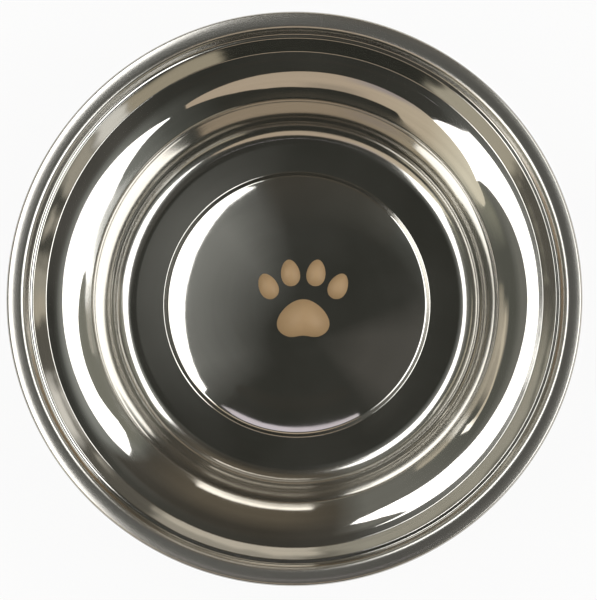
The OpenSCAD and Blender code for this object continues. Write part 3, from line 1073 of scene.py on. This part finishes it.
add_panel("lilac_gap", lilac_white, in_disc=[
    (58, 14.8), (68, 14.6), (78.8, 14.6), (90, 14.8), (100.5, 15.2), (110, 15.7), (120.5, 16.5),
    (130, 17.2), (138.4, 18.1), (144.6, 19.2), (136, 18.6), (128.5, 18.1), (121, 17.6), (113.3, 17.1),
    (99.9, 16.4), (89, 16), (78.6, 15.7), (66, 15.6), (58.1, 15.6)])

# %% [markdown]
# ### Canopy
# The canopy is black cloth overhead. It glows grey round both softboxes, and brown at the back. Near the
# floor it has the pale and ragged shapes of a room, which the flank of the groove mirrors.

# %% Paint the glow and the room's shapes on the canopy's cloth
# The patches are painted light: a grey glow round both softboxes, a brown glow at the back, and the pale,
# ragged shapes of a room near the floor.
canopy_cloth = lit_cloth("canopy cloth", (0.032, 0.033, 0.027), [
    (200, 45, 26, 15, 60, 16, (0.250, 0.255, 0.240)),
    (15, 28, 20, 5, 60, 10, (0.078, 0.075, 0.066)),
    (348, 62, 40, 26, 60, 12, (0.17, 0.18, 0.165)),
    (350, 46, 30, 27, 60, 8, (0.32, 0.33, 0.31)),
    (280, 28, 6, 25, 90, 12, (0.056, 0.050, 0.038)),
    (280, 20, 18, 46, 90, 18, (0.140, 0.118, 0.085)),
    (200, 54, 8, 30, 75, 4, (0.200, 0.200, 0.178)),
    (196, 34, 22, 47, 75, 8, (0.112, 0.115, 0.098)),
    (160, 9, 10, 52, 60, 6, (0.29, 0.29, 0.23)),
    (200, 12, 6, 60, 64, 2, (0.50, 0.45, 0.36)),
    (337, 26, 6, 44, 70, 3, (0.235, 0.235, 0.195)),
    (270, 136, 20, 70, 90, 8, (0.125, 0.117, 0.098)),
    (0, 200, 1, 88, 110, 3, (0.48, 0.44, 0.36)),
], ragged=[
    (281, 16.5, 2, 72, 95, 4, (0.42, 0.39, 0.33)),
    (281, 16.5, 2, 86, 95, 1.5, (0.72, 0.66, 0.55)),
    (226, 34, 14, 76, 95, 4, (0.44, 0.42, 0.35)),
    (214, 36, 10, 82.5, 84.5, 1.5, (0.13, 0.13, 0.11)),
    (329, 7, 4, 76, 82.5, 2, (0.95, 0.92, 0.85)),
    (340, 28, 6, 84.5, 95, 1.5, (0.56, 0.53, 0.46)),
    (356, 5, 3, 73, 84, 4, (0.55, 0.50, 0.40)),
    (16, 20, 4, 70, 95, 4, (0.45, 0.42, 0.35)),
    (13, 10, 3, 71, 80, 2, (0.06, 0.06, 0.05)),
    (13, 4, 3, 74.5, 78, 2, (0.52, 0.48, 0.40)),
    (42, 5, 3, 70, 84, 3, (0.90, 0.88, 0.82)),
    (60, 13, 3, 70, 84, 3, (0.45, 0.40, 0.30)),
    (142, 14, 3, 70, 95, 4, (0.52, 0.48, 0.38)),
    (168, 14, 4, 84, 95, 2, (0.50, 0.47, 0.38)),
])

# %% Close the room with the canopy
CANOPY_STEPS = 64
CANOPY_SKIRT = 1 * MM


def make_canopy():
    """Half a sphere of cloth that ends a little below the floor."""
    bm = bmesh.new()
    bmesh.ops.create_uvsphere(bm, u_segments=CANOPY_STEPS, v_segments=CANOPY_STEPS // 2, radius=CANOPY_R)
    bmesh.ops.bisect_plane(bm, geom=bm.verts[:] + bm.edges[:] + bm.faces[:],
                           plane_co=(0, 0, -CANOPY_SKIRT), plane_no=(0, 0, -1), clear_outer=True)
    canopy = piece_from(bm, "canopy")
    canopy.data.materials.append(canopy_cloth)
    canopy.visible_camera = False


make_canopy()

# %% [markdown]
# ### Floor and background
# The floor is white paper. Seen by the camera and in the metal it is close to plain white, and the rest of
# it is real paper, so that it still takes the bowl's shadow. The camera looks through the canopy and the
# panels, so the world behind them is white too.

# %% Lay the floor
PAPER = (0.88, 0.88, 0.87)
PAPER_ROUGH = 0.9
PAPER_GLOW_SHARE = 0.93
FLOOR_STEPS = 96
FLOOR_DROP = 0.02 * MM


def make_floor():
    """A round sheet of white paper under the bowl."""
    bm = bmesh.new()
    bmesh.ops.create_circle(bm, cap_ends=True, segments=FLOOR_STEPS, radius=CANOPY_R)
    bmesh.ops.translate(bm, verts=bm.verts[:], vec=(0, 0, -FLOOR_DROP))
    floor = piece_from(bm, "floor")
    material, tree, shader = new_material("white paper")
    set_inputs(tree, shader, {"Base Color": (*PAPER, 1), "Roughness": PAPER_ROUGH})
    path = add_node(tree, "ShaderNodeLightPath")
    seen = math(tree, "MAXIMUM", path.outputs["Is Camera Ray"], path.outputs["Is Glossy Ray"])
    seen = math(tree, "MAXIMUM", seen, path.outputs["Is Transmission Ray"])
    glow = set_inputs(tree, add_node(tree, "ShaderNodeEmission"), {"Color": (1, 1, 1, 1), "Strength": 1.0})
    mix = add_node(tree, "ShaderNodeMixShader")
    set_inputs(tree, mix, {0: math(tree, "MULTIPLY", seen, PAPER_GLOW_SHARE), 1: shader.outputs[0],
                           2: glow.outputs[0]})
    tree.links.new(mix.outputs[0], tree.nodes["Material Output"].inputs["Surface"])
    floor.data.materials.append(material)


make_floor()

# %% Whiten the background
world = bpy.data.worlds.new("background")
scene.world = world
world.use_nodes = True
world.node_tree.nodes["Background"].inputs["Color"].default_value = (1, 1, 1, 1)
world.node_tree.nodes["Background"].inputs["Strength"].default_value = 1.0
print("world:", world.name)
